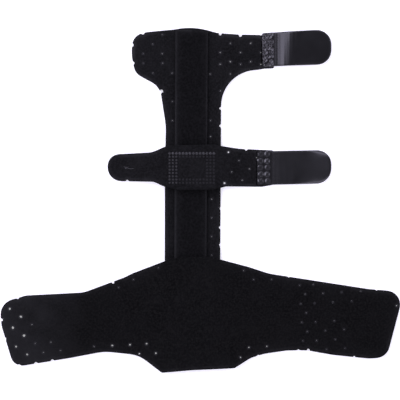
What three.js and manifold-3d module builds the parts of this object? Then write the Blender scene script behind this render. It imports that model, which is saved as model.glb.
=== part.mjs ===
// A finger splint of perforated neoprene, laid out flat on a table.
// A finger pad with a fingertip flap carries a strip of loop tape along its middle. A separate finger strap
// crosses the strip on a welded patch of hook tape, and a wide hand wrap lies over the pad's lower end.
// The flap and the strap each end in a glossy tab of moulded hook tape.
// Millimetres, +Z up, +Y towards the fingertip. The origin is the middle of the outline, on the table.
import * as THREE from "three";
import { mergeGeometries, mergeVertices } from "three/addons/utils/BufferGeometryUtils.js";
import Module from "manifold-3d";

const wasm = await Module();
wasm.setup();

// Driving dimensions
const neoprene = 2.5; // thickness of the padded sheet
const loopTape = 2.0; // height of the loop strip over the stay that it covers
const hookTape = 0.9; // thickness of the moulded hook tape
const gap = 0.3; // between pieces that lie on each other
const weldDepth = 1.0; // how far a weld presses the neoprene down under a tab
const fingertipTabRise = 2.6; // how far the tab kinks up past its weld
const strapTabSlope = 0.09; // how steeply the other tab lifts off the table past its weld
const fingertipWeld = 36.6; // x where the pressed end of each arm begins
const strapWeld = 33.7;
const holeDiameter = 1.7; // perforation
const holeSides = 8;
const thinnestBridge = 0.25; // no perforation leaves less than this at an edge
const arcFacet = 1.6; // longest step round an arc
const bendFacet = 3.5; // longest step along a bent sheet
const reach = 300; // past the end of any piece, for cutters

// Heights of the undersides, from the stack of pieces
const onPad = neoprene + gap;
const onStrip = onPad + loopTape + gap;
const onPatch = onStrip + hookTape + gap;
const onWeld = neoprene - weldDepth + gap;
const onWrapPatch = hookTape + gap;

// Rows of numbers under named columns
function table(columns, rows) {
  return rows.map((row) => Object.fromEntries(columns.map((name, i) => [name, row[i]])));
}

// Outlines as corners in order, clockwise from above, each rounded by an arc
const corner = ["x", "y", "round"];

const padOutline = table(corner, [
  [-4.1, 104.3, 42], // top of the fingertip
  [10.2, 100.2, 15],
  [22.8, 99.3, 10],
  [36.0, 99.0, 1],
  [37.5, 100.0, 1], // the weld spreads the arm's end
  [44.4, 100.1, 0.6],
  [44.4, 79.0, 0.6],
  [38.4, 78.8, 2],
  [34.0, 78.0, 4],
  [12.8, 77.4, 21.6], // inside curve from the arm to the spine
  [11.8, -99.6, 5],
  [-21.3, -99.6, 5],
  [-21.1, 12.0, 20],
  [-20.5, 44.5, 40], // the spine flares towards the lobe
  [-24.1, 68.0, 11],
  [-38.9, 76.0, 8],
  [-41.2, 87.0, 30],
  [-40.3, 98.9, 8],
  [-31.5, 100.8, 5],
  [-15.5, 102.3, 15],
]);

const strapOutline = table(corner, [
  [-55.4, 27.2, 7.2], // round lobe
  [-29.0, 28.5, 10],
  [-19.2, 32.6, 10], // shoulder over the spine
  [7.0, 33.2, 12],
  [23.4, 30.7, 12],
  [44.1, 29.8, 0.6],
  [44.1, 9.1, 0.6],
  [37.2, 7.9, 4],
  [15.6, 8.1, 6],
  [8.4, 6.2, 8],
  [-12.0, 5.9, 10],
  [-22.0, 8.2, 6],
  [-27.8, 10.9, 5],
  [-55.5, 11.4, 8.4],
]);

const wrapOutline = table(corner, [
  [-120.4, -61.9, 9.5], // left end
  [-104.5, -57.3, 8],
  [-69.8, -55.5, 18],
  [-45.0, -46.3, 8],
  [-40.5, -44.0, 8],
  [-16.8, -34.9, 10], // crown over the spine
  [5.4, -33.8, 10],
  [29.0, -40.1, 40],
  [41.5, -44.2, 30],
  [101.0, -53.4, 30],
  [122.3, -55.2, 8.4], // right end
  [112.0, -94.4, 8.5],
  [101.5, -95.1, 20],
  [80.0, -93.0, 20],
  [64.0, -90.2, 15],
  [52.0, -90.3, 20],
  [38.5, -92.3, 20],
  [30.5, -94.7, 6],
  [20.7, -100.8, 0.6], // tail under the palm
  [-5.0, -101.9, 60],
  [-22.9, -103.5, 0.9],
  [-36.6, -93.0, 20],
  [-57.5, -90.9, 30],
  [-78.0, -94.8, 20],
  [-111.7, -100.3, 7],
  [-119.1, -75.5, 12],
]);

const stripOutline = table(corner, [
  [-14.8, 102.2, 0.8],
  [4.8, 101.4, 0.8],
  [3.5, -96.0, 0.8],
  [-15.7, -96.0, 0.8],
]);

const fingertipTabOutline = table(corner, [
  [37.0, 100.1, 1],
  [78.7, 102.4, 8.8],
  [78.8, 81.3, 8.8],
  [37.6, 80.0, 1],
]);

const strapTabOutline = table(corner, [
  [34.1, 29.2, 1],
  [78.8, 30.0, 8.4],
  [78.5, 10.0, 9.0],
  [34.3, 8.9, 1],
]);

const strapPatchOutline = table(corner, [
  [-19.2, 28.8, 0.5],
  [9.3, 28.8, 0.5],
  [9.3, 9.3, 0.5],
  [-19.2, 9.3, 0.5],
]);

const wrapPatchOutline = table(corner, [
  [98.0, -62.5, 3],
  [115.4, -64.2, 3],
  [108.0, -90.0, 3],
  [98.0, -90.0, 3],
]);

// How each bent sheet lies: the height and slope of its underside along X, smooth between the rows
const bend = ["x", "z", "slope"];

const strapBend = table(bend, [
  [-60.0, 0, 0],
  [-50.0, 0, 0],
  [-20.5, onPatch, 0], // up on to the hook patch
  [10.5, onPatch, 0],
  [36.0, 0, 0],
  [60.0, 0, 0],
]);

const wrapBend = table(bend, [
  [-130.0, 0, 0],
  [-52.0, 0, 0],
  [-14.8, onStrip, 0], // up over the spine and its strip
  [4.6, onStrip, 0],
  [41.0, 0, 0],
  [78.0, 0, 0],
  [97.0, onWrapPatch, 0], // up on to the hook patch under the right end
  [130.0, onWrapPatch, 0],
]);

const fingertipTabBend = table(bend, [
  [30.0, onWeld, 0],
  [45.4, onWeld, 0],
  [47.4, onWeld + 0.42, 0.5], // a sharp kink
  [56.0, onWeld + fingertipTabRise, 0],
  [90.0, onWeld + fingertipTabRise, 0],
]);

const strapTabBend = table(bend, [
  [30.0, onWeld, 0],
  [43.4, onWeld, 0],
  [46.0, onWeld + 0.15, strapTabSlope],
  [90.0, onWeld + 0.15 + 44 * strapTabSlope, strapTabSlope], // straight on to its tip
]);

// Perforations in staggered rows. One hole of the field is at x, y. The rows tilt by so many degrees, along is
// the spacing in a row and apart the spacing of the rows. Only holes within the band of the outline are open.
const field = ["x", "y", "tilt", "along", "apart", "fromX", "toX", "fromY", "toY", "band"];
const all = reach;

const padFields = table(field, [
  [24.3, 88.5, 0, 12.2, 5.5, 11, 36.5, 82.5, 105, all], // fingertip arm
  [24.3, 81.4, 0, 12.2, 5.8, 5.5, 36.5, 75, 82.4, all],
  [-34.1, 87.8, 0, 11.4, 5.7, -45, -18, 83, 105, all], // lobe
  [-33.9, 82.0, 0, 11.4, 5.8, -45, -14.5, 72, 82.9, all],
  [-16.6, 59.1, 0, 13.8, 5.7, -25, -14.5, 40, 69, all], // spine, left of the strip
  [12.3, 55.0, 0, 11.2, 5.25, 12, 13, 44, 66, all], // spine, right of the strip
  [6.3, 47.7, 0, 11.2, 4.8, 5, 8, 37, 49, all],
  [7.0, 0.5, 0, 11.2, 5.6, 5, 16, -34, 2, all],
]);

const strapFields = table(field, [
  [-43.6, 11.4, 9.6, 11.3, 5.7, -60, -24, 0, 40, 2], // lobe
  [17.0, 28.6, 9.6, 10.8, 5.95, 13, 34, 0, 40, all], // arm
]);

const wrapFields = table(field, [
  [-107.5, -70.0, 9.5, 11.6, 5.75, -125, -98.5, -110, -64.5, all], // left end
  [-109.4, -58.7, 9.5, 11.6, 5.75, -110, -109, -60, -58, all],
  [-93.9, -91.5, 6.7, 10.3, 5.6, -95, -80, -93, -84, all],
  [-42.0, -86.8, 2.7, 10.8, 5.6, -66, -35, -94, -84.5, all], // left of the spine
  [-32.1, -86.1, 2.7, 10.8, 5.9, -34, -25, -93, -85, all],
  [-39.9, -47.7, 28, 10.2, 20, -50, -38, -54, -46, all],
  [-52.2, -49.5, 28, 10.2, 20, -53, -52, -50, -49, all],
  [-24.9, -40.5, 28, 10.2, 20, -26, -24, -42, -39, all],
  [26.1, -42.3, 0, 10.8, 5.4, 25, 27, -43, -42, all], // right of the spine
  [32.1, -47.7, 0, 10.8, 5.4, 32, 44, -48, -47, all],
  [29.3, -88.4, 3.4, 10.8, 5.6, 15, 45, -97, -80, 7.5],
  [59.7, -51.0, 3.4, 6.0, 5.6, 58.5, 65.05, -91, -49, all], // right arm
  [68.6, -61.9, 3.4, 11.2, 5.6, 65.1, 97, -64.6, -50.3, all],
  [68.6, -61.9, 3.4, 11.2, 5.6, 65.1, 91, -110, -71, all],
  [117.9, -63.3, 3.4, 11.2, 5.6, 117, 119, -64, -63, all], // right end
]);

// Points round an outline, with an arc in place of each corner
function outlinePoints(corners) {
  const points = [];
  corners.forEach((here, i) => {
    const before = corners[(i + corners.length - 1) % corners.length];
    const after = corners[(i + 1) % corners.length];
    const at = new THREE.Vector2(here.x, here.y);
    const back = new THREE.Vector2(before.x, before.y).sub(at).normalize();
    const onward = new THREE.Vector2(after.x, after.y).sub(at).normalize();
    const half = Math.acos(back.dot(onward)) / 2;
    const turn = Math.PI - 2 * half;
    const sense = -Math.sign(back.cross(onward));
    const towardsMiddle = back.clone().add(onward).normalize();
    const middle = towardsMiddle.multiplyScalar(here.round / Math.sin(half)).add(at);
    const start = back.multiplyScalar(here.round / Math.tan(half)).add(at);
    const steps = Math.max(2, Math.ceil((here.round * turn) / arcFacet));
    for (let step = 0; step <= steps; step += 1) {
      points.push(start.clone().rotateAround(middle, (sense * turn * step) / steps));
    }
  });
  return points;
}

// A closed geometry as a solid that can be joined and cut
function solidOf(geometry) {
  const bare = geometry.clone();
  bare.deleteAttribute("normal");
  bare.deleteAttribute("uv");
  const merged = mergeVertices(bare);
  const vertProperties = merged.getAttribute("position").array;
  const triVerts = new Uint32Array(merged.index.array);
  return new wasm.Manifold(new wasm.Mesh({ numProp: 3, vertProperties, triVerts }));
}

function geometryOf(solid) {
  const mesh = solid.getMesh();
  const geometry = new THREE.BufferGeometry();
  geometry.setAttribute("position", new THREE.BufferAttribute(mesh.vertProperties, 3));
  geometry.setIndex(new THREE.BufferAttribute(mesh.triVerts, 1));
  geometry.computeVertexNormals();
  return geometry;
}

// A sheet between two heights, endless along X and Y
function levelSheet(bottom, thickness) {
  const geometry = new THREE.BoxGeometry(2 * reach, 2 * reach, thickness);
  return solidOf(geometry.translate(0, 0, bottom + thickness / 2));
}

// A sheet that follows a bend table along X, endless along Y
function bentSheet(rows, thickness) {
  const under = [new THREE.Vector2(rows[0].x, rows[0].z)];
  rows.slice(1).forEach((to, i) => {
    const from = rows[i];
    const run = to.x - from.x;
    const curve = new THREE.CubicBezierCurve(
      new THREE.Vector2(from.x, from.z),
      new THREE.Vector2(from.x + run / 3, from.z + (from.slope * run) / 3),
      new THREE.Vector2(to.x - run / 3, to.z - (to.slope * run) / 3),
      new THREE.Vector2(to.x, to.z),
    );
    const straight = Math.abs((to.z - from.z) / run - from.slope) + Math.abs(to.slope - from.slope) < 1e-6;
    const steps = straight ? 1 : Math.ceil(run / bendFacet);
    under.push(...curve.getPoints(steps).slice(1));
  });
  const over = under.map((point) => new THREE.Vector2(point.x, point.y + thickness)).reverse();
  const section = new THREE.Shape([...under, ...over]);
  const geometry = new THREE.ExtrudeGeometry(section, { depth: 2 * reach, bevelEnabled: false });
  return solidOf(geometry.rotateX(Math.PI / 2).translate(0, reach, 0));
}

// The die that cuts an outline out of a sheet
function die(outline) {
  const geometry = new THREE.ExtrudeGeometry(new THREE.Shape(outline), { depth: reach, bevelEnabled: false });
  return solidOf(geometry.translate(0, 0, -reach / 2));
}

// The press that welds the end of an arm flat, from one x onwards
function weldPress(fromX) {
  const geometry = new THREE.BoxGeometry(reach, 2 * reach, reach);
  return solidOf(geometry.translate(fromX + reach / 2, 0, neoprene - weldDepth + reach / 2));
}

// Distance from a spot to the nearest edge of an outline
function edgeDistance(spot, outline) {
  const here = new THREE.Vector3(spot.x, spot.y, 0);
  const distances = outline.map((start, i) => {
    const end = outline[(i + 1) % outline.length];
    const edge = new THREE.Line3(new THREE.Vector3(start.x, start.y, 0), new THREE.Vector3(end.x, end.y, 0));
    return edge.closestPointToPoint(here, true, new THREE.Vector3()).distanceTo(here);
  });
  return Math.min(...distances);
}

// The spots of a field of perforations
function fieldSpots(row, outline) {
  const first = new THREE.Vector2(row.x, row.y);
  const tilt = THREE.MathUtils.degToRad(row.tilt);
  const most = Math.ceil(reach / row.apart);
  const spots = [];
  for (let line = -most; line <= most; line += 1) {
    const stagger = line % 2 === 0 ? 0 : 0.5;
    for (let place = -most; place <= most; place += 1) {
      const spot = new THREE.Vector2((place + stagger) * row.along, line * row.apart).add(first);
      spots.push(spot.rotateAround(first, tilt));
    }
  }
  const within = (spot) => spot.x >= row.fromX && spot.x <= row.toX && spot.y >= row.fromY && spot.y <= row.toY;
  return spots.filter(within).filter((spot) => {
    const distance = edgeDistance(spot, outline);
    return distance <= row.band && Math.abs(distance - holeDiameter / 2) >= thinnestBridge;
  });
}

// The pins that punch every perforation of a piece
function punch(fields, outline) {
  const spots = fields.flatMap((row) => fieldSpots(row, outline));
  const pins = spots.map((spot) => {
    const pin = new THREE.CylinderGeometry(holeDiameter / 2, holeDiameter / 2, reach, holeSides);
    return pin.rotateX(Math.PI / 2).translate(spot.x, spot.y, 0);
  });
  return solidOf(mergeGeometries(pins));
}

// Materials
const materials = {
  neoprene: { color: 0x1b1c1f, roughness: 0.92, metalness: 0 },
  loopTape: { color: 0x131416, roughness: 0.97, metalness: 0 },
  hookTape: { color: 0x1e1f21, roughness: 0.32, metalness: 0 },
};

function piece(name, solid, material) {
  const mesh = new THREE.Mesh(geometryOf(solid), new THREE.MeshStandardMaterial(material));
  mesh.name = name;
  return mesh;
}

const pad = outlinePoints(padOutline);
const fingerPad = levelSheet(0, neoprene)
  .intersect(die(pad))
  .subtract(punch(padFields, pad))
  .subtract(weldPress(fingertipWeld));

const strap = outlinePoints(strapOutline);
const fingerStrap = bentSheet(strapBend, neoprene)
  .intersect(die(strap))
  .subtract(punch(strapFields, strap))
  .subtract(weldPress(strapWeld));

const wrap = outlinePoints(wrapOutline);
const handWrap = bentSheet(wrapBend, neoprene).intersect(die(wrap)).subtract(punch(wrapFields, wrap));

const loopStrip = levelSheet(onPad, loopTape).intersect(die(outlinePoints(stripOutline)));
const strapHookPatch = levelSheet(onStrip, hookTape).intersect(die(outlinePoints(strapPatchOutline)));
const wrapHookPatch = levelSheet(0, hookTape).intersect(die(outlinePoints(wrapPatchOutline)));
const fingertipTab = bentSheet(fingertipTabBend, hookTape).intersect(die(outlinePoints(fingertipTabOutline)));
const strapTab = bentSheet(strapTabBend, hookTape).intersect(die(outlinePoints(strapTabOutline)));

const splint = new THREE.Group();
splint.add(
  piece("finger_pad", fingerPad, materials.neoprene),
  piece("loop_strip", loopStrip, materials.loopTape),
  piece("strap_hook_patch", strapHookPatch, materials.hookTape),
  piece("finger_strap", fingerStrap, materials.neoprene),
  piece("fingertip_tab", fingertipTab, materials.hookTape),
  piece("strap_tab", strapTab, materials.hookTape),
  piece("wrap_hook_patch", wrapHookPatch, materials.hookTape),
  piece("hand_wrap", handWrap, materials.neoprene),
);

export default splint;
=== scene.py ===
"""A finger splint of perforated neoprene with hook tabs and a hand wrap, laid flat and seen from above."""
import math

import bmesh
import bpy
import numpy as np
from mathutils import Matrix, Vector, kdtree, noise
from mathutils.geometry import delaunay_2d_cdt


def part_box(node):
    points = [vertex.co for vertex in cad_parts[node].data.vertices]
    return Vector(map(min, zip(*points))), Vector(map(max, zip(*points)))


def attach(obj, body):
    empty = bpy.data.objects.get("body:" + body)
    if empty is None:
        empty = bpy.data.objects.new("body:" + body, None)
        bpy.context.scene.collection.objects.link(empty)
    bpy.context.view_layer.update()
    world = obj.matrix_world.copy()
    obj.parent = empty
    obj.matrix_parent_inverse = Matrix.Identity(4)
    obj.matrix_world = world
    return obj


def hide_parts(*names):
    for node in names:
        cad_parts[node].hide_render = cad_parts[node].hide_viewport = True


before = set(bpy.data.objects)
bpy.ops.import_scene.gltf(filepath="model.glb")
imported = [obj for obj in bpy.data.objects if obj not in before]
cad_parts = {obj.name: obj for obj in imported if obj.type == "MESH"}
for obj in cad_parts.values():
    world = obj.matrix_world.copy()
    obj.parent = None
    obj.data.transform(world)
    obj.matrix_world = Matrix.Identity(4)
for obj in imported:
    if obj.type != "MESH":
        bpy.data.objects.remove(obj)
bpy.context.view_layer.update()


# Finger pad
# The spine that lies along the finger, with a flap at its top that folds round the fingertip. It is
# die-cut from one perforated sheet of neoprene foam, faced with brushed loop fabric and lined with
# jersey, and lies flat.
mm = 0.001
rng = np.random.default_rng(seed=7)
# A colour Mix node's sockets go by number, because their names repeat.
mix_share, mix_from, mix_to, mixed = 0, 6, 7, 2


def linear(code):
    """An sRGB hex colour as linear red, green, blue and alpha."""
    parts = [int(code[i:i + 2], 16) / 255 for i in (1, 3, 5)]
    return [p / 12.92 if p <= 0.04045 else ((p + 0.055) / 1.055) ** 2.4 for p in parts] + [1.0]


def add_node(tree, kind, values=None, links=None, **settings):
    """A new shader node with its settings, socket values and links from other nodes' outputs."""
    node = tree.nodes.new(kind)
    for name, value in settings.items():
        setattr(node, name, value)
    for socket, value in (values or {}).items():
        node.inputs[socket].default_value = value
    for socket, source in (links or {}).items():
        tree.links.new(source, node.inputs[socket])
    return node


def new_material(name):
    """A material with no nodes but its coordinates, which are metres in the splint's frame."""
    material = bpy.data.materials.new(name)
    material.use_nodes = True
    material.node_tree.nodes.clear()
    place = add_node(material.node_tree, "ShaderNodeTexCoord").outputs["Object"]
    return material, material.node_tree, place


def finish_material(tree, shader):
    """Show a shader on the surface of its material."""
    add_node(tree, "ShaderNodeOutputMaterial", links={"Surface": shader.outputs["BSDF"]})


def brushed_loop_fabric(name, deep, raised, tip, rim_lit, sheen_patch=None):
    """Nylon loop knit, brushed up to a short dense nap.

    It scatters nearly all light, so it is a deep soft black with a faint bloom, clouded where the nap has
    been brushed one way or the other. Along its cuts and round its holes it is painted lighter, a painted
    rim highlight where the edge catches the light. An X range, if it is given, holds where a painted sheen
    begins and where it is full, which looks lighter.
    """
    material, tree, place = new_material(name)
    cloud = 14 * mm
    tuft = 1.2 * mm  # real tufts are about 0.4 mm, too fine to show
    # the colour of a painted sheen over one end of the sheet
    sheen_colour = "#222222"
    clouds = add_node(tree, "ShaderNodeTexNoise", {"Scale": 1 / cloud, "Detail": 3.0, "Roughness": 0.65},
                      {"Vector": place})
    cloudy = add_node(tree, "ShaderNodeMapRange", {"From Min": 0.35, "From Max": 0.65},
                      {"Value": clouds.outputs["Fac"]})
    tufts = add_node(tree, "ShaderNodeTexNoise", {"Scale": 1 / tuft, "Detail": 2.0, "Roughness": 0.7},
                     {"Vector": place})
    tufted = add_node(tree, "ShaderNodeMapRange", {"From Min": 0.4, "From Max": 0.7},
                      {"Value": tufts.outputs["Fac"]})
    colour = add_node(tree, "ShaderNodeMix", {mix_from: linear(deep), mix_to: linear(raised)},
                      {mix_share: cloudy.outputs["Result"]}, data_type="RGBA")
    colour = add_node(tree, "ShaderNodeMix", {mix_to: linear(tip)},
                      {mix_share: tufted.outputs["Result"], mix_from: colour.outputs[mixed]},
                      data_type="RGBA")
    # A painted sheen: the colour is lightened across the given X range, unevenly with the clouds.
    if sheen_patch:
        begins, flat = sheen_patch
        along = add_node(tree, "ShaderNodeSeparateXYZ", links={"Vector": place})
        sheen_share = add_node(tree, "ShaderNodeMapRange", {"From Min": begins * mm, "From Max": flat * mm},
                         {"Value": along.outputs["X"]}, interpolation_type="SMOOTHSTEP")
        patchy = add_node(tree, "ShaderNodeMath", operation="MULTIPLY",
                          links={0: sheen_share.outputs["Result"], 1: clouds.outputs["Fac"]})
        colour = add_node(tree, "ShaderNodeMix", {mix_to: linear(sheen_colour)},
                          {mix_share: patchy.outputs["Value"], mix_from: colour.outputs[mixed]},
                          data_type="RGBA")
    # A painted rim highlight, read from the points: lighter along the cut and round the holes.
    painted_rim_light = add_node(tree, "ShaderNodeAttribute", attribute_name="painted_rim_light")
    colour = add_node(tree, "ShaderNodeMix", {mix_to: linear(rim_lit)},
                      {mix_share: painted_rim_light.outputs["Fac"], mix_from: colour.outputs[mixed]},
                      data_type="RGBA")
    nap = add_node(tree, "ShaderNodeBump", {"Strength": 0.7, "Distance": 0.3 * mm},
                   {"Height": tufts.outputs["Fac"]})
    finish_material(tree, add_node(
        tree, "ShaderNodeBsdfPrincipled",
        {"Roughness": 0.95, "Specular IOR Level": 0.02, "Sheen Weight": 0.012, "Sheen Roughness": 0.4,
         "Sheen Tint": linear("#ffffff")},
        {"Base Color": colour.outputs[mixed], "Normal": nap.outputs["Normal"]}))
    return material


def cut_foam():
    """Closed-cell chloroprene foam where the die sheared it.

    It is a fine rubbery edge, a little greyer than the fabric.
    """
    material, tree, place = new_material("cut_neoprene_foam")
    cell = 0.35 * mm
    cells = add_node(tree, "ShaderNodeTexVoronoi", {"Scale": 1 / cell}, {"Vector": place})
    colour = add_node(tree, "ShaderNodeMix", {mix_from: linear("#0d0d0d"), mix_to: linear("#1f1f1f")},
                      {mix_share: cells.outputs["Distance"]}, data_type="RGBA")
    pores = add_node(tree, "ShaderNodeBump", {"Strength": 0.5, "Distance": 0.1 * mm},
                     {"Height": cells.outputs["Distance"]})
    finish_material(tree, add_node(
        tree, "ShaderNodeBsdfPrincipled", {"Roughness": 0.75, "Specular IOR Level": 0.1},
        {"Base Color": colour.outputs[mixed], "Normal": pores.outputs["Normal"]}))
    return material


def jersey_lining():
    """Polyester jersey on the skin side.

    It is a flat knit in fine wales, smoother and a little lighter than the nap.
    """
    material, tree, place = new_material("jersey_lining")
    wale = 2.37 * mm  # real wales are about 0.6 mm, too fine to show
    wave_length = 2 * math.pi / 20  # of a wave texture at a scale of 1
    wales = add_node(tree, "ShaderNodeTexWave", {"Scale": wave_length / wale, "Distortion": 1.5},
                     {"Vector": place}, bands_direction="X")
    colour = add_node(tree, "ShaderNodeMix", {mix_from: linear("#101010"), mix_to: linear("#1b1b1b")},
                      {mix_share: wales.outputs["Fac"]}, data_type="RGBA")
    knit = add_node(tree, "ShaderNodeBump", {"Strength": 0.4, "Distance": 0.15 * mm},
                    {"Height": wales.outputs["Fac"]})
    finish_material(tree, add_node(
        tree, "ShaderNodeBsdfPrincipled", {"Roughness": 0.9, "Specular IOR Level": 0.1},
        {"Base Color": colour.outputs[mixed], "Normal": knit.outputs["Normal"]}))
    return material


def cut_lines(node):
    """The outline of a CAD sheet and its perforations as loops of points from above, in millimetres."""
    same_point = 0.001 * mm
    facing_down = -0.3  # a face whose normal points lower than this is on the underside
    solid = bmesh.new()
    solid.from_mesh(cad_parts[node].data)
    bmesh.ops.remove_doubles(solid, verts=solid.verts, dist=same_point)
    rims = {}
    for edge in solid.edges:
        if sum(face.normal.z < facing_down for face in edge.link_faces) == 1:
            for one, other in (edge.verts, reversed(edge.verts)):
                rims.setdefault(one, []).append(other)
    loops = []
    while rims:
        here = next(iter(rims))
        loop = []
        while here in rims:
            loop.append(here.co.xy[:])
            ways = rims.pop(here)
            here = next((way for way in ways if way in rims), here)
        loops.append(np.array(loop) / mm)
    solid.free()
    loops.sort(key=lambda loop: -np.ptp(loop, axis=0).max())
    return loops[0], loops[1:]


def loop_area(loop):
    """The area in a loop, positive if it runs anticlockwise."""
    x, y = loop.T
    return np.sum(x * np.roll(y, -1) - y * np.roll(x, -1)) / 2


def even_loop(loop):
    """A closed loop run anticlockwise with evenly spaced points and its corners eased."""
    spacing = 0.4
    easing_rounds = 2
    closed = np.vstack([loop, loop[:1]])[::1 if loop_area(loop) > 0 else -1]
    run = np.concatenate([[0], np.cumsum(np.linalg.norm(np.diff(closed, axis=0), axis=1))])
    at = np.linspace(0, run[-1], round(run[-1] / spacing), endpoint=False)
    even = np.column_stack([np.interp(at, run, closed[:, axis]) for axis in (0, 1)])
    for _ in range(easing_rounds):
        even = (np.roll(even, 1, axis=0) + 2 * even + np.roll(even, -1, axis=0)) / 4
    return even


def inward_normals(loop):
    """The direction into the sheet at each point of a loop that runs anticlockwise round it."""
    along = np.roll(loop, -1, axis=0) - np.roll(loop, 1, axis=0)
    return np.column_stack([-along[:, 1], along[:, 0]]) / np.linalg.norm(along, axis=1)[:, None]


def nearest(points, targets):
    """The distance from each point to the nearest target, and that target's number."""
    tree = kdtree.KDTree(len(targets))
    for i, (x, y) in enumerate(targets):
        tree.insert((x, y, 0), i)
    tree.balance()
    found = [tree.find((x, y, 0)) for x, y in points]
    return np.array([hit[2] for hit in found]), np.array([hit[1] for hit in found])


def nicked(loop, nicks):
    """A loop with small round nicks, where the die cut through a perforation.

    Each nick is a row of x, y and radius, and sits at the nearest point of the loop.
    """
    if not nicks:
        return loop
    x, y, radius = np.array(nicks).T
    middles = loop[nearest(np.column_stack([x, y]), loop)[1]]
    distance, which = nearest(loop, middles)
    depth = np.sqrt(np.clip(radius[which] ** 2 - distance ** 2, 0, None))
    return loop + inward_normals(loop) * depth[:, None]


def punched_hole(loop, openness):
    """A clockwise hole, round but a little out of true, where the CAD sheet is perforated.

    The nap closes all but a share of its width, which lies between the two that openness gives there.
    """
    sides = 16
    out_of_true = 0.08
    middle = loop.mean(axis=0)
    radius = np.linalg.norm(loop - middle, axis=1).mean() * rng.uniform(*openness(*middle))
    turn = -np.linspace(0, 2 * math.pi, sides, endpoint=False)
    oval = radius * (1 + out_of_true * np.cos(2 * (turn - rng.uniform(0, math.pi))))
    return middle + np.column_stack([oval * np.cos(turn), oval * np.sin(turn)])


def inside(points, loop):
    """Which points a closed loop holds, by counting the edges on one side of each."""
    odd = np.zeros(len(points), bool)
    x, y = points.T
    for (x0, y0), (x1, y1) in zip(loop, np.roll(loop, -1, axis=0)):
        if y0 != y1:
            odd ^= ((y0 > y) != (y1 > y)) & (x < (x1 - x0) * (y - y0) / (y1 - y0) + x0)
    return odd


def hex_grid(low, high, spacing):
    """Staggered rows of points that fill a box."""
    x, y = np.meshgrid(np.arange(low[0], high[0], spacing),
                       np.arange(low[1], high[1], spacing * math.sqrt(0.75)))
    x[1::2] += spacing / 2
    return np.column_stack([x.ravel(), y.ravel()])


def cut_pattern(loops, spacing, finer):
    """Points and triangles that fill a flat cut, and the numbers of the points on each loop.

    finer holds the low corner, high corner and spacing of each stretch that needs more points.
    """
    edge_insets = (0.12, 0.3)  # rows of points just inside a cut, which carry its rounding
    least_inset = 0.8  # the share of its inset that a point keeps where the cut turns sharply
    grid_inset = 0.5
    same_point = 1e-6
    within_outline = 1
    rim = np.vstack(loops)
    grid = hex_grid(rim.min(axis=0), rim.max(axis=0), spacing)
    for low, high, fine in finer:
        within = ((grid > low) & (grid < high)).all(axis=1)
        grid = np.vstack([grid[~within], hex_grid(low, high, fine)])
    grid = grid[inside(grid, loops[0])]
    for hole in loops[1:]:
        middle = hole.mean(axis=0)
        radius = np.linalg.norm(hole - middle, axis=1).max()
        grid = grid[np.linalg.norm(grid - middle, axis=1) > radius]
    grid = grid[nearest(grid, rim)[0] > grid_inset]
    insets = []
    for loop in loops:
        for inset in edge_insets:
            ring = loop + inset * inward_normals(loop)
            insets.append(ring[nearest(ring, rim)[0] > least_inset * inset])
    ends = np.cumsum([len(loop) for loop in loops])
    ties = [(start + i, start + (i + 1) % len(loop)) for loop, start in zip(loops, [0, *ends])
            for i in range(len(loop))]
    points, _, triangles, origins, _, _ = delaunay_2d_cdt(
        [Vector(point) for point in np.vstack([rim, *insets, grid])], ties, [], within_outline, same_point)
    where = {source: i for i, sources in enumerate(origins) for source in sources}
    rings = [np.array([where[i] for i in range(end - len(loop), end)]) for loop, end in zip(loops, ends)]
    points = np.array([point[:] for point in points])
    triangles = np.array(triangles)
    hole_of = np.zeros(len(points), int)
    for number, ring in enumerate(rings[1:], 1):
        hole_of[ring] = number
    corners = hole_of[triangles]
    in_hole = (corners[:, 0] > 0) & (corners == corners[:, :1]).all(axis=1)
    return points, triangles[~in_hole], rings


def eased(distance, reach, drop):
    """How far a rounded edge has dropped, at a distance in from the edge."""
    share = np.clip(1 - distance / reach, 0, 1)
    return drop * (1 - np.sqrt(1 - share * share))


def ramp(x, start, end):
    """0 before start, 1 after end and smooth between."""
    share = np.clip((x - start) / (end - start), 0, 1)
    return share * share * (3 - 2 * share)


def bumps(x, y, size, depth):
    """Low uneven relief of a given size across, in millimetres."""
    level = 0.5  # of the slice through the noise
    return depth * np.array([noise.noise((a / size, b / size, level)) for a, b in zip(x, y)])


def rim_light_falloff(x, y, distance, line, line_share, fade, fade_share):
    """The painted rim highlight at a distance from the cut: an uneven line along it, fading slowly inward.
    """
    along_cut = ramp(distance, start=1.2 * line, end=0.7 * line) * (1 + bumps(x, y, size=4, depth=1))
    inward = np.clip(1 - distance / fade, 0, 1) ** 1.5
    return np.clip(line_share * along_cut + fade_share * inward, 0, 1)


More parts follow.
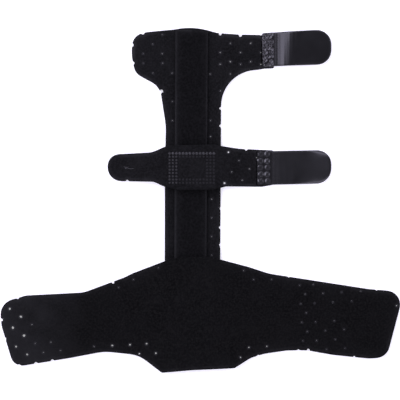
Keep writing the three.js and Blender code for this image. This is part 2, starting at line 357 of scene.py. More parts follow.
def cut_sheet(name, node, under, over, spacing, edge, openness=None, finer=(), nicks=()):
    """A closed mesh cut from sheet along the lines of a CAD node, with eased edges.

    under and over give the height of each face at x, y in millimetres. edge holds the rounding over and
    under the outline and at the holes, the line of painted rim highlight along the outline, and how much
    of that highlight the sheet gets at x, y. Its faces are material 0 over, 1 round and 2 under.
    """
    wall_rows = (0.15, 0.85)  # how far down the cut its foam begins and ends
    crease = math.radians(50)
    # the share of painted rim highlight at each hole's edge, a painted halo
    hole_halo = 0.8
    outline, holes = cut_lines(node)
    loops = [nicked(even_loop(outline), nicks)] + [punched_hole(hole, openness) for hole in holes]
    flat, triangles, rings = cut_pattern(loops, spacing, finer)
    to_outline = nearest(flat, loops[0])[0]
    to_holes = nearest(flat, np.vstack(loops[1:]))[0] if holes else np.full(len(flat), np.inf)
    at_holes = eased(to_holes, **edge["hole"]) if holes else 0
    top = over(*flat.T) - np.maximum(eased(to_outline, **edge["over"]), at_holes)
    bottom = under(*flat.T) + np.maximum(eased(to_outline, **edge["under"]), at_holes)
    count = len(flat)
    vertices = [np.column_stack([flat, top]), np.column_stack([flat, bottom])]
    faces = triangles.tolist() + (triangles[:, ::-1] + count).tolist()
    kinds = [0] * len(triangles) + [2] * len(triangles)
    total = 2 * count
    for ring in rings:
        rows = [ring]
        for share in wall_rows:
            vertices.append(np.column_stack([flat[ring], top[ring] + share * (bottom[ring] - top[ring])]))
            rows.append(np.arange(total, total + len(ring)))
            total += len(ring)
        rows.append(ring + count)
        for upper, lower, kind in zip(rows, rows[1:], (0, 1, 2)):
            faces += np.column_stack([upper, lower, np.roll(lower, -1), np.roll(upper, -1)]).tolist()
            kinds += [kind] * len(ring)
    mesh = bpy.data.meshes.new(name)
    mesh.from_pydata((np.vstack(vertices) * mm).tolist(), [], faces)
    mesh.polygons.foreach_set("material_index", kinds)
    mesh.polygons.foreach_set("use_smooth", [True] * len(faces))
    mesh.set_sharp_from_angle(angle=crease)
    # A painted rim highlight along the outline and round the holes, kept on the points for the materials.
    if "rim_lit" in edge:
        at_outline = rim_light_falloff(*flat.T, to_outline, **edge["rim_lit"]) * edge["rim_light_amount"](*flat.T)
        painted_rim_light = np.ones(total, np.float32)
        painted_rim_light[:count] = np.maximum(at_outline, hole_halo * ramp(to_holes, start=0.9, end=0.2))
        mesh.attributes.new("painted_rim_light", "FLOAT", "POINT").data.foreach_set("value", painted_rim_light)
    piece = bpy.data.objects.new(name, mesh)
    bpy.context.collection.objects.link(piece)
    return piece


def nap_relief(x, y):
    """The unevenness of brushed neoprene: slow swells, and tufts of nap."""
    return bumps(x, y, size=9, depth=0.07) + bumps(x, y, size=2.4, depth=0.06)


def lay_sheet(piece, node, faces, length=None):
    """Dress a cut sheet that takes the place of a CAD node and lies where it was put."""
    for face in faces:
        piece.data.materials.append(face)
    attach(piece, "root")
    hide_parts(node)
    abs(loop_area(cut_lines(node)[0])) * mm * mm


neoprene_thickness = (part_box("finger_pad")[1].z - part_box("finger_pad")[0].z) / mm
neoprene_edge = {
    "over": dict(reach=1.2, drop=0.8),
    "under": dict(reach=0.5, drop=0.35),
    "hole": dict(reach=0.45, drop=0.3),
    # a painted rim highlight along the cut
    "rim_lit": dict(line=2.0, line_share=0.15, fade=9.0, fade_share=0.05),
}
sheet_spacing = 0.8
spine_middle, spine_half_width = -4.5, 14
clear_of_spine = 24
weld_depth = 1.0
fingertip_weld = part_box("fingertip_tab")[0].x / mm
foam = cut_foam()
lining = jersey_lining()
# The lighter colour given for the cut is a painted rim highlight.
pad_fabric = brushed_loop_fabric("brushed_loop_fabric", deep="#0d0d0d", raised="#141414", tip="#1b1b1b",
                                 rim_lit="#363636")


def pad_rim_lighting(x, y):
    """The painted rim highlight is strongest on the flaps at the pad's top and weakest by the spine's
    sides.
    """
    spine_rim_share, flap_rim_share = 0.5, 0.8
    return spine_rim_share + flap_rim_share * ramp(np.abs(x - spine_middle), spine_half_width, clear_of_spine)


def weld_press(x, weld):
    """How far the welding tool has pressed the neoprene down, under a tab that begins at weld along X."""
    return weld_depth * ramp(x, start=weld - 0.45, end=weld - 0.05)


def weld_stretch(node, weld):
    """The stretch of an arm at the edge of its weld, where its mesh has to be finer."""
    before, past, spacing = 1.4, 0.6, 0.25
    low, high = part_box(node)
    return np.array((weld - before, low.y / mm)), np.array((weld + past, high.y / mm)), spacing


def pad_over(x, y):
    return neoprene_thickness - weld_press(x, fingertip_weld) + nap_relief(x, y)


def pad_under(x, y):
    return np.zeros_like(x)


def pad_openness(x, y):
    """The right flap is worn most, and the nap is thickest on the left lobe and on the lower spine."""
    worn, napped, thick = (0.2, 0.36), (0.1, 0.24), (0.06, 0.16)
    right_flap, left_lobe, lower_spine = 10, -25, 0
    if x > right_flap:
        return worn
    if x < left_lobe or y < lower_spine:
        return thick
    return napped


pad_edge = {**neoprene_edge, "rim_light_amount": pad_rim_lighting}
pad_nicks = [  # x, y and radius
    (-34.2, 99.6, 0.9),
    (-40.5, 93, 0.9),
    (-39.8, 82.5, 0.9),
    (-22.8, 65.7, 0.9),
    (24, 98.8, 0.9),
    (11.6, -16.7, 0.6),
    (11.6, -26.6, 0.6),
]
finger_pad = cut_sheet("finger_pad_neoprene", "finger_pad", pad_under, pad_over, sheet_spacing, pad_edge,
                       pad_openness, [weld_stretch("finger_pad", fingertip_weld)], pad_nicks)
lay_sheet(finger_pad, "finger_pad", (pad_fabric, foam, lining))


# Loop strip
# A strip of napped loop tape along the middle of the spine, over the hidden stay that splints the finger.
# It is woven nylon with a firm selvedge down each side, bonded flat on the pad.


def napped_loop_tape():
    """Nylon loop tape, a dense upstanding pile of loops that traps light.

    It is darker than the pad's brushed fabric, and it is painted lighter towards its edges, a painted rim
    highlight.
    """
    material, tree, place = new_material("napped_loop_tape")
    loop_tuft = 1.2 * mm  # real loops are about 0.4 mm apart, too fine to show
    matted_patch = 8 * mm
    tufts = add_node(tree, "ShaderNodeTexVoronoi", {"Scale": 1 / loop_tuft}, {"Vector": place})
    matted = add_node(tree, "ShaderNodeTexNoise", {"Scale": 1 / matted_patch, "Detail": 3.0},
                      {"Vector": place})
    colour = add_node(tree, "ShaderNodeMix", {mix_from: linear("#050505"), mix_to: linear("#0c0c0c")},
                      {mix_share: matted.outputs["Fac"]}, data_type="RGBA")
    colour = add_node(tree, "ShaderNodeMix", {mix_to: linear("#141414")},
                      {mix_share: tufts.outputs["Distance"], mix_from: colour.outputs[mixed]},
                      data_type="RGBA")
    # A painted rim highlight along the tape's cut edges.
    painted_rim_light = add_node(tree, "ShaderNodeAttribute", attribute_name="painted_rim_light")
    colour = add_node(tree, "ShaderNodeMix", {mix_to: linear("#272727")},
                      {mix_share: painted_rim_light.outputs["Fac"], mix_from: colour.outputs[mixed]},
                      data_type="RGBA")
    pile = add_node(tree, "ShaderNodeBump", {"Strength": 0.8, "Distance": 0.3 * mm},
                    {"Height": tufts.outputs["Distance"]})
    finish_material(tree, add_node(
        tree, "ShaderNodeBsdfPrincipled",
        {"Roughness": 0.97, "Specular IOR Level": 0.02, "Sheen Weight": 0.008, "Sheen Roughness": 0.5},
        {"Base Color": colour.outputs[mixed], "Normal": pile.outputs["Normal"]}))
    return material


def selvedge_with_painted_highlight():
    """The tape's plain woven edge.

    It is a narrow flat cord of thread, smoother than the pile, and its lighter colour is partly its own and
    partly a painted highlight where the tape's rounded edge catches the light.
    """
    material, tree, place = new_material("selvedge_with_painted_highlight")
    pick = 1.6 * mm  # real picks are about 0.4 mm, too fine to show
    picks = add_node(tree, "ShaderNodeTexNoise", {"Scale": 1 / pick, "Detail": 1.0}, {"Vector": place})
    # lighter than the pile, partly a painted highlight along the tape's edges
    colour = add_node(tree, "ShaderNodeMix", {mix_from: linear("#0e0e0e"), mix_to: linear("#1d1d1d")},
                      {mix_share: picks.outputs["Fac"]}, data_type="RGBA")
    finish_material(tree, add_node(
        tree, "ShaderNodeBsdfPrincipled", {"Roughness": 0.7, "Specular IOR Level": 0.1},
        {"Base Color": colour.outputs[mixed]}))
    return material


strip_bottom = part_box("loop_strip")[0].z / mm
strip_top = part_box("loop_strip")[1].z / mm
selvedge_width = 0.7
cut_end = 1.5  # the tape has no selvedge across its ends


def strip_over(x, y):
    return strip_top + bumps(x, y, size=1.6, depth=0.08) + bumps(x, y, size=6, depth=0.1)


def strip_under(x, y):
    return np.full_like(x, strip_bottom)


def face_middles(piece):
    """The middle of each face of a piece from above, in millimetres."""
    middles = np.empty(3 * len(piece.data.polygons))
    piece.data.polygons.foreach_get("center", middles)
    return middles.reshape(-1, 3)[:, :2] / mm


def repaint(piece, chosen, number):
    """Give the chosen upper faces of a piece another of its materials."""
    kinds = np.empty(len(piece.data.polygons), np.int32)
    piece.data.polygons.foreach_get("material_index", kinds)
    piece.data.polygons.foreach_set("material_index", np.where(chosen & (kinds == 0), number, kinds))


def strip_rim_lighting(x, y):
    """The painted rim highlight is stronger on the strip's left side, which faces the key, than on its
    right.
    """
    left, right = 1.2, 0.6
    return np.where(x < spine_middle, left, right)


# The lighter line along the tape's cut is a painted rim highlight.
strip_edge = {
    "over": dict(reach=1.6, drop=0.8),
    "under": dict(reach=0.3, drop=0.2),
    "rim_lit": dict(line=1.2, line_share=0.25, fade=5.0, fade_share=0.2),
    "rim_light_amount": strip_rim_lighting,
}
loop_strip = cut_sheet("loop_strip_tape", "loop_strip", strip_under, strip_over, sheet_spacing, strip_edge)
selvedge = selvedge_with_painted_highlight()
lay_sheet(loop_strip, "loop_strip", (napped_loop_tape(), selvedge, selvedge))
strip_line = even_loop(cut_lines("loop_strip")[0])
strip_faces = face_middles(loop_strip)
half_length = np.ptp(strip_line[:, 1]) / 2
at_ends = np.abs(strip_faces[:, 1] - strip_line[:, 1].mean()) > half_length - cut_end
at_edge = nearest(strip_faces, strip_line)[0] < selvedge_width
# The long edges take the selvedge colour, which carries a painted highlight.
repaint(loop_strip, at_edge & ~at_ends, number=1)


# Strap hook patch
# A square of moulded hook tape under the finger strap, which grips the loop strip and is welded through
# the strap. Its hooks face down into the loops, so only its edge can be seen.


def moulded_nylon(name, base, specular, smoothest, roughest, flow_mark):
    """Injection-moulded nylon, black all through.

    It has a smooth polished skin with a faint waviness from the mould, as wide as its flow marks.
    """
    material, tree, place = new_material(name)
    flow = add_node(tree, "ShaderNodeTexNoise", {"Scale": 1 / flow_mark, "Detail": 2.0}, {"Vector": place})
    gloss = add_node(tree, "ShaderNodeMapRange", {"To Min": smoothest, "To Max": roughest},
                     {"Value": flow.outputs["Fac"]})
    waves = add_node(tree, "ShaderNodeBump", {"Strength": 0.15, "Distance": 0.1 * mm},
                     {"Height": flow.outputs["Fac"]})
    finish_material(tree, add_node(
        tree, "ShaderNodeBsdfPrincipled",
        {"Base Color": linear(base), "IOR": 1.53, "Specular IOR Level": specular},
        {"Roughness": gloss.outputs["Result"], "Normal": waves.outputs["Normal"]}))
    return material


hook_nylon = moulded_nylon("moulded_hook_nylon", "#0c0c0c", specular=0.42, smoothest=0.2, roughest=0.28,
                           flow_mark=7 * mm)
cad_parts["strap_hook_patch"].data.materials[0] = hook_nylon


# Finger strap
# A separate strap of the same neoprene that crosses over the spine and folds round the finger. The hook
# patch under it is welded through, which leaves a frame of raised dots on its face. The tool pressed
# harder at the frame's top and left, so the dots stand out there.


def pressed_nap(name, colour, roughness, specular):
    """Nap that the welding tool has melted down.

    It is a thin hard skin, smoother and shinier than the brushed fabric, mottled where it melted unevenly.
    """
    material, tree, place = new_material(name)
    melted_spot = 1.6 * mm
    mottle = 0.1
    spots = add_node(tree, "ShaderNodeTexNoise", {"Scale": 1 / melted_spot, "Detail": 1.0},
                     {"Vector": place})
    gloss = add_node(tree, "ShaderNodeMapRange",
                     {"To Min": roughness - mottle, "To Max": roughness + mottle},
                     {"Value": spots.outputs["Fac"]})
    finish_material(tree, add_node(
        tree, "ShaderNodeBsdfPrincipled", {"Base Color": linear(colour), "Specular IOR Level": specular},
        {"Roughness": gloss.outputs["Result"]}))
    return material


def smooth_bend(rows):
    """Height along X from rows of x and height in millimetres, level at each row and smooth between."""
    xs, zs = np.array(rows).T

    def height(x):
        step = np.clip(np.searchsorted(xs, x) - 1, 0, len(xs) - 2)
        t = (x - xs[step]) / (xs[step + 1] - xs[step])
        return zs[step] + (zs[step + 1] - zs[step]) * t * t * (3 - 2 * t)

    return height


def bent_length(height, low, high):
    """The length in metres of a sheet that follows a bend between two metre marks along X."""
    samples = 400
    x = np.linspace(low / mm, high / mm, samples)
    return float(np.hypot(np.diff(x), np.diff(height(x))).sum()) * mm


def domes(x, y, centres, width, heights):
    """Round domes, or dimples where their height is negative, at centres in millimetres."""
    distance, which = nearest(np.column_stack([x, y]), centres)
    return heights[which] * np.clip(1 - (2 * distance / width) ** 2, 0, 1)


clearance = 0.3
patch_low, patch_high = (np.array(corner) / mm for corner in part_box("strap_hook_patch"))
patch_size = (patch_high - patch_low)[:2]
patch_lift = patch_high[2] + clearance
strap_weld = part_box("strap_tab")[0].x / mm
strap_height = smooth_bend([  # x and height
    (-60, 0),
    (-50, 0),
    (-20.5, patch_lift),
    (10.5, patch_lift),
    (36, 0),
    (60, 0),
])
dot_width = 1.55
dot_columns, dot_rows = 14, 10
left_columns, right_columns, bottom_rows = 3, 3, 2
column, row = (grid.ravel() for grid in np.meshgrid(np.arange(dot_columns), np.arange(dot_rows)))
top_dots, second_dots, bottom_dots = row == dot_rows - 1, row == dot_rows - 2, row < bottom_rows
left_dots, right_dots = column < left_columns, column >= dot_columns - right_columns
full_height = np.select([top_dots, left_dots, second_dots, right_dots, bottom_dots],
                        [0.65, 0.12, 0.2, 0.1, 0.1])
least_share, most_share = 0.5, 1.1
dot_height = full_height * rng.uniform(least_share, most_share, len(column))
dot_at = patch_low[:2] + (np.column_stack([column, row]) + 0.5) * patch_size / (dot_columns, dot_rows)
in_frame = dot_height > 0
dot_at, dot_height = dot_at[in_frame], dot_height[in_frame]
sunk_reach, sunk_depth = 1.5, 0.2  # of the face round each dot


def strap_over(x, y):
    near_dot = nearest(np.column_stack([x, y]), dot_at)[0] < sunk_reach
    dots = domes(x, y, dot_at, dot_width, dot_height) - np.where(near_dot, sunk_depth, 0)
    return strap_height(x) + neoprene_thickness - weld_press(x, strap_weld) + dots + nap_relief(x, y)


def strap_under(x, y):
    return strap_height(x)


def strap_openness(x, y):
    """The nap is worn along the strap's edges, and closes the holes along its middle."""
    worn, napped = (0.4, 0.65), (0.1, 0.24)
    strap_middle, napped_half_width = 19, 8
    return worn if abs(y - strap_middle) > napped_half_width else napped


def arms_rim_lighting(x, y):
    """A sheet across the spine has painted rim highlight where it hangs free of it, and at the palm's edge.
    """
    palm_start, palm_end = -76, -84
    hanging = ramp(np.abs(x - spine_middle), spine_half_width, clear_of_spine)
    return np.maximum(hanging, ramp(y, palm_start, palm_end))


dots_margin, dots_spacing = 0.3, 0.35
dots_stretch = (patch_low[:2] - dots_margin, patch_high[:2] + dots_margin, dots_spacing)
arm_edge = {**neoprene_edge, "rim_light_amount": arms_rim_lighting}
finger_strap = cut_sheet("finger_strap_neoprene", "finger_strap", strap_under, strap_over, sheet_spacing,
                         arm_edge, strap_openness,
                         [dots_stretch, weld_stretch("finger_strap", strap_weld)])
strap_low, strap_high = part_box("finger_strap")
hard_pressed = pressed_nap("heat_pressed_nap", "#121212", roughness=0.42, specular=0.4)
half_pressed = pressed_nap("half_pressed_nap", "#1b1b1b", roughness=0.7, specular=0.1)
lay_sheet(finger_strap, "finger_strap", (pad_fabric, foam, lining, hard_pressed, half_pressed),
          bent_length(strap_height, strap_low.x, strap_high.x))
to_dot, which_dot = nearest(face_middles(finger_strap), dot_at)
standing_dot = (top_dots | left_dots)[in_frame][which_dot]
melted_share = np.where(top_dots, 0.52, 0.4)[in_frame][which_dot]
melted = to_dot < dot_width * melted_share
repaint(finger_strap, standing_dot & melted, number=3)
repaint(finger_strap, ~standing_dot & melted, number=4)


def fibre(name, points, thickness):
    """A loose fibre as a thin round strand through points, in millimetres."""
    facets = 6
    tip_share = 0.4
    points = np.array(points)
    along = np.gradient(points, axis=0)
    along /= np.linalg.norm(along, axis=1)[:, None]
    across = np.cross(along, (0, 0, 1))
    upward = np.cross(across, along)
    turn = np.linspace(0, 2 * math.pi, facets, endpoint=False)
    taper = thickness / 2 * np.array([tip_share] + [1] * (len(points) - 2) + [tip_share])
    rings = [point + radius * (np.outer(np.cos(turn), side) + np.outer(np.sin(turn), up))
             for point, radius, side, up in zip(points, taper, across, upward)]
    last_ring = facets * (len(points) - 1)
    faces = [(i + j, i + (j + 1) % facets, i + (j + 1) % facets + facets, i + j + facets)
             for i in range(0, last_ring, facets) for j in range(facets)]
    faces += [tuple(range(facets))[::-1], tuple(range(last_ring, last_ring + facets))]
    mesh = bpy.data.meshes.new(name)
    mesh.from_pydata((np.vstack(rings) * mm).tolist(), [], faces)
    strand = bpy.data.objects.new(name, mesh)
    bpy.context.collection.objects.link(strand)
    return strand


def highlit_pulled_nylon():
    """Nylon filaments pulled out of the knit.

    They lie loose and catch the light, and their grey colour is a painted highlight.
    """
    material, tree, place = new_material("loose_filament_painted_highlight")
    crimp = 1.0 * mm
    crimps = add_node(tree, "ShaderNodeTexNoise", {"Scale": 1 / crimp}, {"Vector": place})
    # grey base colour: a painted highlight on black nylon
    colour = add_node(tree, "ShaderNodeMix", {mix_from: linear("#242424"), mix_to: linear("#484848")},
                      {mix_share: crimps.outputs["Fac"]}, data_type="RGBA")
    finish_material(tree, add_node(
        tree, "ShaderNodeBsdfPrincipled", {"Roughness": 0.5, "Specular IOR Level": 0.3},
        {"Base Color": colour.outputs[mixed]}))
    return material


pulled = highlit_pulled_nylon()
pulled_x, pulled_y = -45.0, 19.4
filament_width, filament_points = 0.25, 7
sway, sway_turn = 0.25, 5
gap_over_nap, arch = 0.05, 0.3
strand_ends = [(-0.8, 0.9), (0.9, 0.8), (5.6, -0.7), (1.1, -0.9), (2.6, 0.2)]
for number, (end_x, end_y) in enumerate(strand_ends):
    share = np.linspace(0, 1, filament_points)
    x = pulled_x + end_x * share
    y = pulled_y + end_y * share + sway * np.sin(sway_turn * share + number)
    z = strap_height(x) + neoprene_thickness + gap_over_nap + arch * np.sin(math.pi * share)
    strand = fibre(f"pulled_filament_{number}", np.column_stack([x, y, z]), filament_width)
    strand.data.materials.append(pulled)
    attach(strand, "root")


# Hook tabs
# The fingertip flap and the finger strap each end in a tab of moulded hook tape, smooth back up and hooks
# down. A toothed tool has welded each tab to the neoprene, and the tab kinks up where it leaves the weld.


def hook_field(name, tab, under, start):
    """Rows of small moulded hooks under a tab past start, each a stem that leans over at its tip."""
    pitch, bare_edge = 1.3, 1.0
    lean_drop_half = [
        (0, 0.0, 0.26),
        (0, -0.35, 0.2),
        (0.1, -0.65, 0.16),
        (0.32, -0.8, 0.13),
        (0.42, -0.66, 0.08),
    ]
    corners = [(-1, -1), (1, -1), (1, 1), (-1, 1)]
    outline = even_loop(cut_lines(tab)[0])
    spots = hex_grid(outline.min(axis=0), outline.max(axis=0), pitch)
    spots = spots[inside(spots, outline) & (spots[:, 0] > start)]
    spots = spots[nearest(spots, outline)[0] > bare_edge]
    stem = np.array([(lean + side_x * half, side_y * half, drop) for lean, drop, half in lean_drop_half
                     for side_x, side_y in corners])
    ring, last = len(corners), len(stem)
    beside = [i + 1 if (i + 1) % ring else i + 1 - ring for i in range(last)]
    shape = [(i, i + ring, beside[i] + ring, beside[i]) for i in range(last - ring)]
    shape += [(0, 1, 2, 3), (last - 1, last - 2, last - 3, last - 4)]
    height = under(spots[:, 0], spots[:, 1])
    vertices = np.vstack([stem + (x, y, z) for (x, y), z in zip(spots, height)])
    faces = [tuple(i + last * n for i in face) for n in range(len(spots)) for face in shape]
    mesh = bpy.data.meshes.new(name)
    mesh.from_pydata((vertices * mm).tolist(), [], faces)
    hooks = bpy.data.objects.new(name, mesh)
    bpy.context.collection.objects.link(hooks)
    return hooks


def rise_along(rows):
    """The height that a sheet has gained along X, from rows of x in millimetres and the slope there."""
    step, far_end = 0.1, 90
    x_at = np.arange(rows[0][0], far_end, step)
    slope = np.interp(x_at, *np.array(rows).T)
    risen = np.cumsum(slope) * step
    return lambda x: np.interp(x, x_at, risen)


def welded_tab(name, tab, lift, weld_end, tooth_at, tooth_width, tooth_height, bead_height, streak, sunk):
    """A hook tab's smooth back, its toothed weld and the hooks under it.

    lift gives its rise past the weld at x, y, tooth_height the range of the tool's marks, bead_height the
    ridge of melt along the weld's outer edge, streak the depth of the mould's flow lines in its bend, and
    sunk how far that outer edge is pressed level with the neoprene instead of being rounded.
    """
    thickness = 0.9
    bend_length = 13
    bend_end = weld_end + bend_length
    back_spacing, weld_spacing = 0.6, 0.35
    edge = {"over": dict(reach=1.2, drop=0.35), "under": dict(reach=0.2, drop=0.15)}
    low, high = (np.array(corner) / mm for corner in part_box(tab))
    outline = even_loop(cut_lines(tab)[0])
    tooth_heights = rng.uniform(*tooth_height, len(tooth_at))

    def under(x, y):
        return low[2] + lift(x, y)

    def over(x, y):
        toothed = 1 - ramp(x, start=weld_end - 0.9, end=weld_end - 0.2)
        teeth = domes(x, y, tooth_at, tooth_width, tooth_heights) * toothed
        lumpy = 1 + bumps(x, y, size=1.5, depth=2.6)
        bead = bead_height * ramp(x, start=low[0] + 1.8, end=low[0] + 0.8) * lumpy
        from_edge = nearest(np.column_stack([x, y]), outline)[0]
        levelled = sunk * eased(from_edge, **edge["over"]) * ramp(x, start=weld_end, end=weld_end - 2)
        in_bend = ramp(x, start=weld_end, end=weld_end + 2) * ramp(x, start=bend_end + 4, end=bend_end - 3)
        streaks = in_bend * bumps(x, 0.03 * y, size=1.5, depth=streak)
        return low[2] + lift(x, y) + thickness + teeth + bead + levelled + streaks

    fine_stretch = (low[:2], np.array((bend_end, high[1])), weld_spacing)
    back = cut_sheet(name, tab, under, over, back_spacing, edge, finer=[fine_stretch])
    back.data.materials.append(hook_nylon)
    back.data.materials.append(weld_nylon)
    pressed = face_middles(back)[:, 0] < weld_end - 0.6
    back.data.polygons.foreach_set("material_index", np.int32(pressed))
    hooks = hook_field(name + "_hooks", tab, under, weld_end)
    hooks.data.materials.append(hook_nylon)
    for piece in (back, hooks):
        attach(piece, "root")
    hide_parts(tab)


weld_nylon = moulded_nylon("weld_pressed_nylon", "#0c0c0c", specular=0.58, smoothest=0.12, roughest=0.3,
                           flow_mark=1.5 * mm)
tip_low, tip_high = (np.array(corner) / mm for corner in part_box("fingertip_tab"))
tip_middle = (tip_low[1] + tip_high[1]) / 2
dimple_pitch, dimple_margin, dimple_end, dimple_shift = 2.7, 1.2, 45.0, 0.6
dimples = hex_grid(tip_low[:2] + dimple_margin, (dimple_end, tip_high[1]), dimple_pitch)
dimples = dimples + rng.uniform(-dimple_shift, dimple_shift, dimples.shape)
sharp_kink = rise_along([  # x and slope
    (30, 0), (44, 0),
    (45.1, 0.115), (46.5, 0.142), (47.1, 0.17), (47.7, 0.23), (48.3, 0.3),
    (48.8, 0.52), (49.2, 0.52),
    (49.7, 0.36), (50.7, 0.25), (52.2, 0.165), (54, 0.1), (56, 0.045), (58.5, 0),
])
crest = 48.8
upper_spread, lower_spread = -0.05, -0.03
tip_droop = 0.003


def fingertip_lift(x, y):
    """The kink, which eases out more slowly towards the tab's upper side, and a droop of its lower side."""
    spread = np.exp(np.where(y > tip_middle, upper_spread, lower_spread) * (y - tip_middle))
    droop = tip_droop * np.clip(tip_middle - y, 0, None) ** 2 * ramp(x, start=54, end=66)
    crest_rise = sharp_kink(crest)
    eased_out = crest_rise + (sharp_kink(crest + (x - crest) * spread) - crest_rise) / spread
    level = ramp(x, start=56, end=74)
    return np.where(x > crest, level * sharp_kink(x) + (1 - level) * eased_out, sharp_kink(x)) - droop


welded_tab("fingertip_tab_nylon", "fingertip_tab", fingertip_lift, weld_end=44.2, tooth_at=dimples,
           tooth_width=2.3, tooth_height=(-0.98, -0.26), bead_height=0.35, streak=0.09, sunk=0)

arm_low, arm_high = (np.array(corner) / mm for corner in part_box("strap_tab"))
arm_middle = (arm_low[1] + arm_high[1]) / 2
pillow_columns, pillow_rows, pillow_margin, pillow_shift = (36.4, 40.3), 5, 2.2, 0.3
pillow_x, pillow_y = (grid.ravel() for grid in np.meshgrid(
    pillow_columns, np.linspace(arm_low[1] + pillow_margin, arm_high[1] - pillow_margin, pillow_rows)))
pillows = np.column_stack([pillow_x, pillow_y])
pillows = pillows + rng.uniform(-pillow_shift, pillow_shift, pillows.shape)
steady_lift = rise_along([  # x and slope
    (30, 0), (42.6, 0),
    (43.6, 0.11), (46, 0.105), (50, 0.085), (57, 0.08), (62, 0.08),
    (65, 0.095), (69, 0.125), (80, 0.14),
])
lower_droop, upper_droop, upper_fold = 0.02, 0.08, 5.8


def strap_tab_lift(x, y):
    """A steady lift, with both sides of the tab's end turned down, gently below and sharply above."""
    lower = lower_droop * np.clip(arm_middle - y, 0, None) ** 2 * ramp(x, start=55, end=69)
    upper = upper_droop * np.clip(y - arm_middle - upper_fold, 0, None) ** 2 * ramp(x, start=61, end=75)
    return steady_lift(x) - lower - upper


welded_tab("strap_tab_nylon", "strap_tab", strap_tab_lift, weld_end=43.0, tooth_at=pillows,
           tooth_width=3.4, tooth_height=(0.27, 0.4), bead_height=0.08, streak=0.015, sunk=1)


# Wrap hook patch
# The hand wrap's fastener, a patch of the same hook tape welded under its right end, hooks down. It lies
# between the wrap and the table, so it shows only from the side.
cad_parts["wrap_hook_patch"].data.materials[0] = hook_nylon


# Hand wrap
# A wide wrap of the same neoprene that goes round the hand. It is laid over the lower end of the spine,
# rises over the loop strip there, and drops to the table on both sides. Its fabric is painted darker than
# the pad's, a painted shade where the light falls off towards the bottom, and its left end is painted
# lighter, a painted sheen.
strip_lift = strip_top + clearance
wrap_patch_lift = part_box("wrap_hook_patch")[1].z / mm + clearance
wrap_height = smooth_bend([  # x and height
    (-130, 0),
    (-52, 0),
    (-14.8, strip_lift),
    (4.6, strip_lift),
    (41, 0),
    (78, 0),
    (97, wrap_patch_lift),
    (130, wrap_patch_lift),
])
# The pad's fabric painted darker, a painted shade where the light falls off towards the bottom, with a
# painted sheen over the left end.
wrap_fabric = brushed_loop_fabric("brushed_loop_fabric_painted_shade_and_sheen", deep="#090909", raised="#0e0e0e",
                                  tip="#151514", rim_lit="#303030", sheen_patch=(-66, -102))


def wrap_over(x, y):
    return wrap_height(x) + neoprene_thickness + nap_relief(x, y)


def wrap_under(x, y):
    return wrap_height(x)


def wrap_openness(x, y):
    """The nap is worn off the left end, and thin beside the tail and at the right end."""
    bare, thin, rubbed, napped, thick = (0.6, 0.85), (0.45, 0.65), (0.35, 0.5), (0.14, 0.26), (0.07, 0.17)
    left_end, left_arm, right_end = -103, -60, 110
    lower_edge, tail_left, tail_right, past_tail = -84, -20, 20, 45
    if x < left_end:
        return bare
    if x < left_arm:
        return napped
    if y < lower_edge and left_arm < x < tail_left:
        return thin
    if y < lower_edge and tail_right < x < past_tail or x > right_end:
        return rubbed
    return thick


# a fainter painted rim highlight along the wrap's cut
wrap_edge = {**arm_edge, "rim_lit": dict(line=2.0, line_share=0.1, fade=9.0, fade_share=0.07)}
wrap_nicks = [  # x, y and radius
    (-98.4, -97.5, 0.9),
    (-88.5, -96.2, 0.9),
    (53.1, -46.5, 0.5),
    (92.5, -93.7, 0.7),
    (105.9, -54.3, 0.5),
]
hand_wrap = cut_sheet("hand_wrap_neoprene", "hand_wrap", wrap_under, wrap_over, sheet_spacing, wrap_edge,
                      wrap_openness, nicks=wrap_nicks)
wrap_low, wrap_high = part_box("hand_wrap")
lay_sheet(hand_wrap, "hand_wrap", (wrap_fabric, foam, lining),
          bent_length(wrap_height, wrap_low.x, wrap_high.x))


# Table, light and camera
# A plain white light table under soft boxes all round, with the camera straight above on a long lens, as
# for a flat lay. The zenith is the darkest part of the light, so the level tabs stay dark and only their
# kinks catch the key.


def light_table():
    """Opal white acrylic, lit past white from above and faintly from below, so the perforations glow."""
    material, tree, _ = new_material("opal_acrylic_table")
    finish_material(tree, add_node(
        tree, "ShaderNodeBsdfPrincipled",
        {"Base Color": linear("#f4f4f4"), "Roughness": 0.9, "Specular IOR Level": 0.1,
         "Emission Color": linear("#ffffff"), "Emission Strength": 0.4}))
    return material


table_size = 6
table_gap = 0.1 * mm
bpy.ops.mesh.primitive_plane_add(size=table_size, location=(0, 0, -table_gap))
table = bpy.context.object
table.name = "table"
table.data.materials.append(light_table())

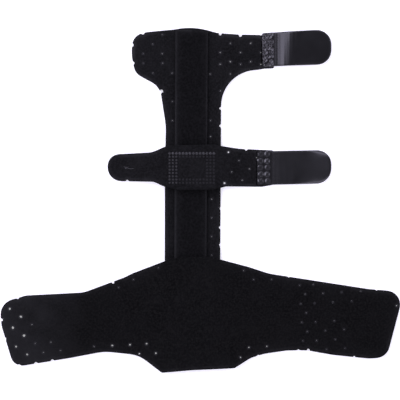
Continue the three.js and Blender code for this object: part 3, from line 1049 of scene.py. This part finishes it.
horizon_strength, zenith_strength = 0.4, 0.045
zenith_core, zenith_edge = math.radians(4), math.radians(12)
daylight = (1.0, 0.96, 1.22)  # the camera's white balance leaves it cool
world = bpy.data.worlds.new("studio")
world.use_nodes = True
sky = world.node_tree
direction = add_node(sky, "ShaderNodeTexCoord")
upward = add_node(sky, "ShaderNodeSeparateXYZ", links={"Vector": direction.outputs["Generated"]})
from_zenith = add_node(sky, "ShaderNodeMath", links={0: upward.outputs["Z"]}, operation="ARCCOSINE")
strength = add_node(sky, "ShaderNodeMapRange",
                    {"From Min": zenith_core, "From Max": zenith_edge,
                     "To Min": zenith_strength, "To Max": horizon_strength},
                    {"Value": from_zenith.outputs["Value"]})
sky.links.new(strength.outputs["Result"], sky.nodes["Background"].inputs["Strength"])
sky.nodes["Background"].inputs["Color"].default_value = (*daylight, 1)
bpy.context.scene.world = world


def soft_box(name, azimuth, tilt, distance, width, length, power):
    """An area light aimed at the splint, tilt degrees down from the zenith towards an azimuth from +X."""
    light = bpy.data.lights.new(name, "AREA")
    light.shape = "RECTANGLE"
    light.size, light.size_y = width, length
    light.energy = power
    light.color = daylight
    lamp = bpy.data.objects.new(name, light)
    turn, lean = math.radians(azimuth), math.radians(tilt)
    lamp.location = distance * Vector((math.sin(lean) * math.cos(turn), math.sin(lean) * math.sin(turn),
                                       math.cos(lean)))
    lamp.rotation_euler = lamp.location.to_track_quat("Z", "Y").to_euler()
    bpy.context.collection.objects.link(lamp)


soft_box("key_soft_box", azimuth=160, tilt=42, distance=1.1, width=1.0, length=0.9, power=9)
soft_box("right_soft_box", azimuth=0, tilt=50, distance=1.3, width=1.0, length=0.6, power=5)
soft_box("far_soft_box", azimuth=90, tilt=50, distance=1.3, width=1.0, length=0.6, power=5)
soft_box("near_soft_box", azimuth=-90, tilt=50, distance=1.3, width=1.0, length=0.6, power=4.5)

photo_width = 240 * mm
photo_level = 1.5 * mm  # the height above the table at which the photo's width is right
camera_distance = 2.0
lens = bpy.data.cameras.new("camera")
lens.sensor_width = 36
lens.lens = lens.sensor_width * camera_distance / photo_width
camera = bpy.data.objects.new("camera", lens)
camera.location = (0, 0, camera_distance + photo_level)
bpy.context.collection.objects.link(camera)
bpy.context.scene.camera = camera
bpy.context.scene.view_settings.view_transform = "Standard"
